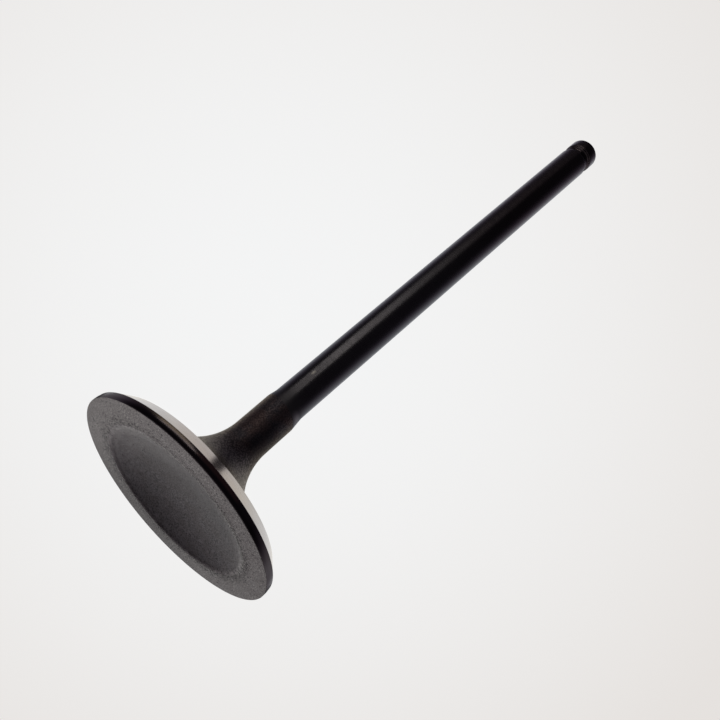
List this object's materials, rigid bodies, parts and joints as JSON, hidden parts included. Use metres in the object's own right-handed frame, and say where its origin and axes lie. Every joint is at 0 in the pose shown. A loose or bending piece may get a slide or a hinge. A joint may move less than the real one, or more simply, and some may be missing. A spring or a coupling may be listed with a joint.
{
  "type": "engine valve",
  "caption": "Poppet valve for an engine: dished round head with a ground conical seat, flared neck, long plain stem and a keeper groove near the tip.",
  "frame": {"origin": "centre of the head, in the plane of the flat rim of its face, on which the valve stands", "axes": "+Z along the stem, from the face of the head to the tip"},
  "size_m": [0.034, 0.034, 0.1079],
  "materials": {
    "valve_steel": "dark nitrided steel, semi-matt, with a bright ground seat"
  },
  "bodies": {
    "root": {"valve": "valve_steel"}
  },
  "joints": []
}
